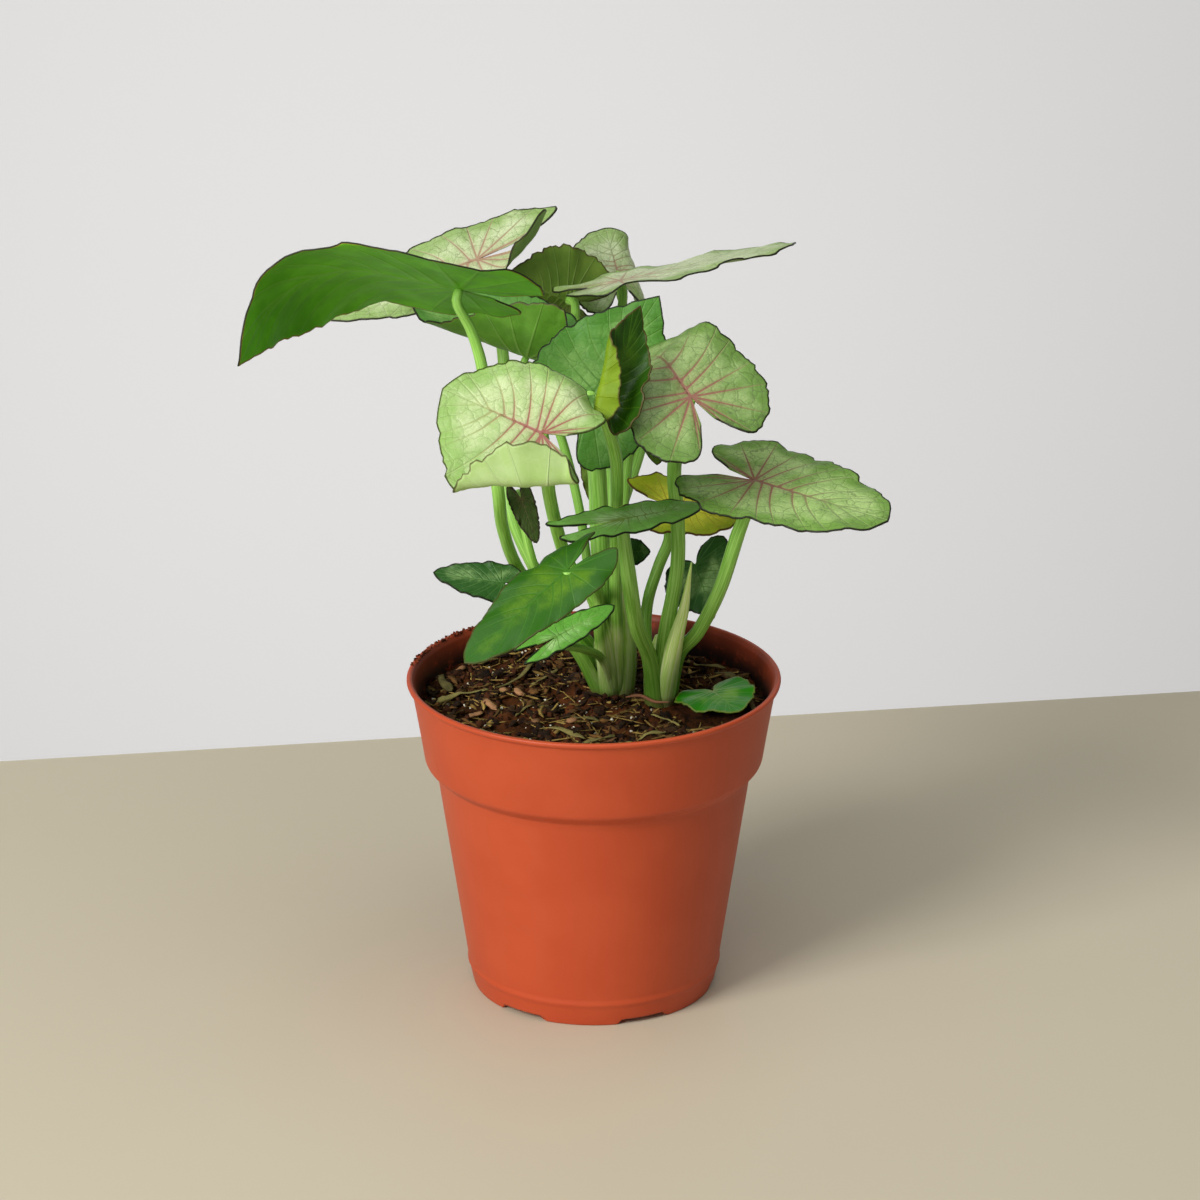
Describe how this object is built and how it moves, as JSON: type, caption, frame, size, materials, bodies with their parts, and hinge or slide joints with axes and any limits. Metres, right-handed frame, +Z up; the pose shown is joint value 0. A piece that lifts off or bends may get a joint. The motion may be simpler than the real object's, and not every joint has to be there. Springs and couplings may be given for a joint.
{
  "type": "potted foliage plant",
  "caption": "Leafy arrowhead vine with arrow-shaped variegated leaves on upright stalks, rooted in a tapered plastic nursery pot that stands on its foot",
  "frame": {"origin": "centre of the pot's foot, on the plane it stands on", "axes": "+Z is up along the pot's axis, -Y is the side the picture shows, +X is to the right in the picture"},
  "size_m": [0.1742, 0.1653, 0.229],
  "materials": {
    "terracotta_plastic": "satin",
    "potting_soil": "rough",
    "green_stalk": "satin",
    "pale_leaf": "satin",
    "dark_leaf": "satin",
    "yellowing_leaf": "satin",
    "withered_leaf": "dry",
    "fresh_leaf": "satin"
  },
  "bodies": {
    "root": {"pot": "terracotta_plastic", "soil": "potting_soil", "left_shoot": "green_stalk", "right_shoot": "green_stalk", "leaf_upper_left": "dark_leaf", "leaf_upper_back": "pale_leaf", "leaf_left_bowl": "pale_leaf", "leaf_top_olive": "dark_leaf", "leaf_top_back": "pale_leaf", "leaf_right_long": "pale_leaf", "leaf_centre_dark": "dark_leaf", "leaf_rolled_young": "pale_leaf", "leaf_bright": "pale_leaf", "leaf_right_round": "pale_leaf", "leaf_hidden_right": "dark_leaf", "leaf_olive_back": "dark_leaf", "leaf_right_low": "pale_leaf", "leaf_mid_saddle": "dark_leaf", "leaf_yellowing": "yellowing_leaf", "leaf_small_right": "dark_leaf", "leaf_small_left": "dark_leaf", "leaf_low_convex": "dark_leaf", "leaf_low_variegated": "dark_leaf", "leaf_withered": "withered_leaf", "leaf_small_back": "dark_leaf", "leaf_fallen": "fresh_leaf"}
  },
  "joints": []
}
